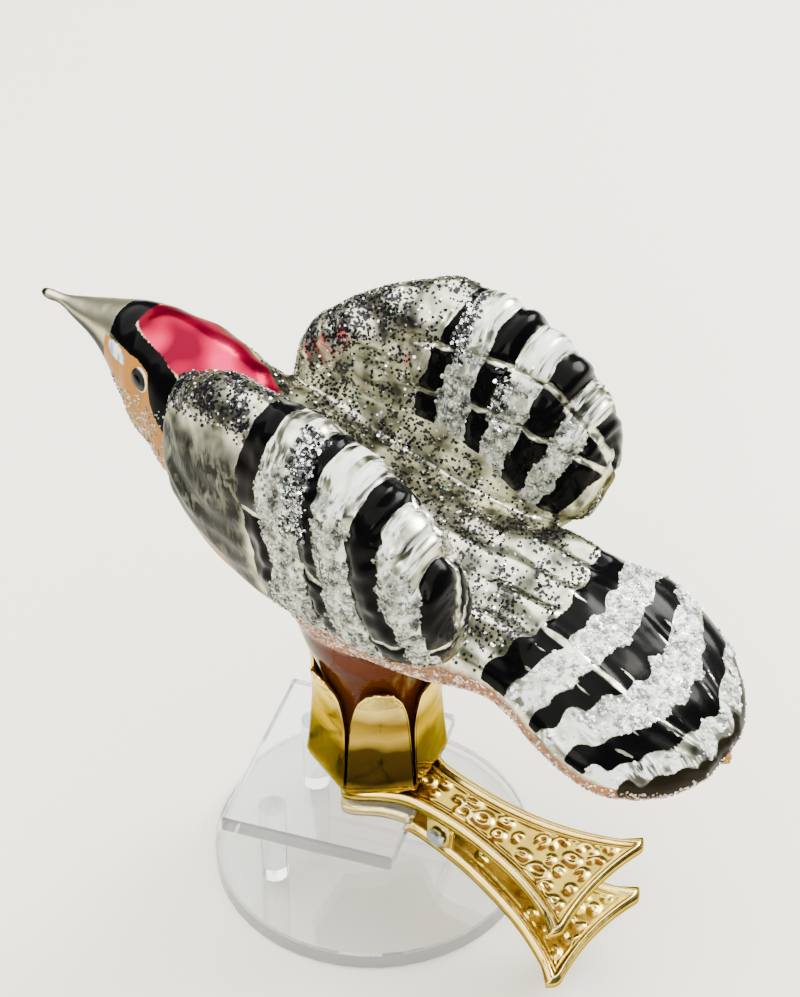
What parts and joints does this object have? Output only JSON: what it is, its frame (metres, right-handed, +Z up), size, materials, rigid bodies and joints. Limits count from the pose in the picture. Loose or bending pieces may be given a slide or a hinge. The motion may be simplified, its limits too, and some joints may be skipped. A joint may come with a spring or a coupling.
{
  "type": "clip-on glass woodpecker ornament",
  "caption": "Mould-blown glass woodpecker on a sprung metal clip that grips a branch or sheet edge, shown on a plain clear stand.",
  "frame": {"origin": "centre of the bounding box's footprint, on the floor", "axes": "+Z up, the bird faces -Y, its left side is +X"},
  "size_m": [0.0486, 0.1086, 0.0917],
  "materials": {
    "silvered_glass": "silvered inside, satin lacquer over it",
    "crimson_lacquer": "clear crimson lacquer over silvered glass",
    "amber_glass": "glossy amber lacquer on glass",
    "polished_brass": "bright polished",
    "gilt_steel": "gilt, stamped",
    "bright_steel": "bright",
    "clear_acrylic": "clear, polished"
  },
  "bodies": {
    "display": {"bill": "silvered_glass", "head": "crimson_lacquer", "trunk": "silvered_glass", "tail": "silvered_glass", "wing_left": "silvered_glass", "wing_right": "silvered_glass", "stem": "amber_glass", "collar": "polished_brass", "clip_leaf_upper": "gilt_steel", "clip_pin": "bright_steel", "clip_spring_upper": "bright_steel", "stand_sheet": "clear_acrylic", "stand_rod_left": "clear_acrylic", "stand_rod_right": "clear_acrylic", "stand_base": "clear_acrylic"},
    "lower_jaw": {"clip_leaf_lower": "gilt_steel", "clip_spring_lower": "bright_steel"}
  },
  "joints": [
    {"name": "clip_hinge", "type": "hinge", "parent": "display", "child": "lower_jaw", "pos_m": [0.00098, 0.01487, 0.016], "axis": [0.9976, -0.0698, 0], "range_deg": [0, 12], "stiffness_Nm_per_rad": 0.04, "springref_deg": -57.3}
  ]
}
